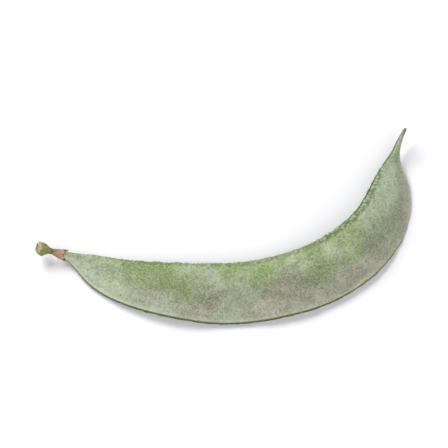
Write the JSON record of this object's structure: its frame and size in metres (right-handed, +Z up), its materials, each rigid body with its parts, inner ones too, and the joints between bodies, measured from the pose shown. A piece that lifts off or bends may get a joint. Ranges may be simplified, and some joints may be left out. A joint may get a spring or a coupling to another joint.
{
  "type": "hyacinth bean pod",
  "caption": "Flat, crescent-shaped fresh bean pod with bumpy seams and a pointed beak, lying on its side with its dry calyx and a stub of stalk.",
  "frame": {"origin": "on the surface, under the middle of the box round the whole pod as it lies", "axes": "+X along the pod from the stalk towards the curved arm, +Y towards the hollow side of the crescent and the beak, +Z up from the surface"},
  "size_m": [0.1128, 0.0608, 0.0098],
  "materials": {
    "pod_skin": "fresh plant skin, pale grey-green with a dull waxy bloom and a greener inner seam",
    "calyx_paper": "dry papery sepals, tan to pinkish brown, matt",
    "stalk_skin": "olive green stalk joint with a pale dry scar, matt"
  },
  "bodies": {
    "root": {"pod": "pod_skin", "calyx": "calyx_paper", "stalk": "stalk_skin"}
  },
  "joints": []
}
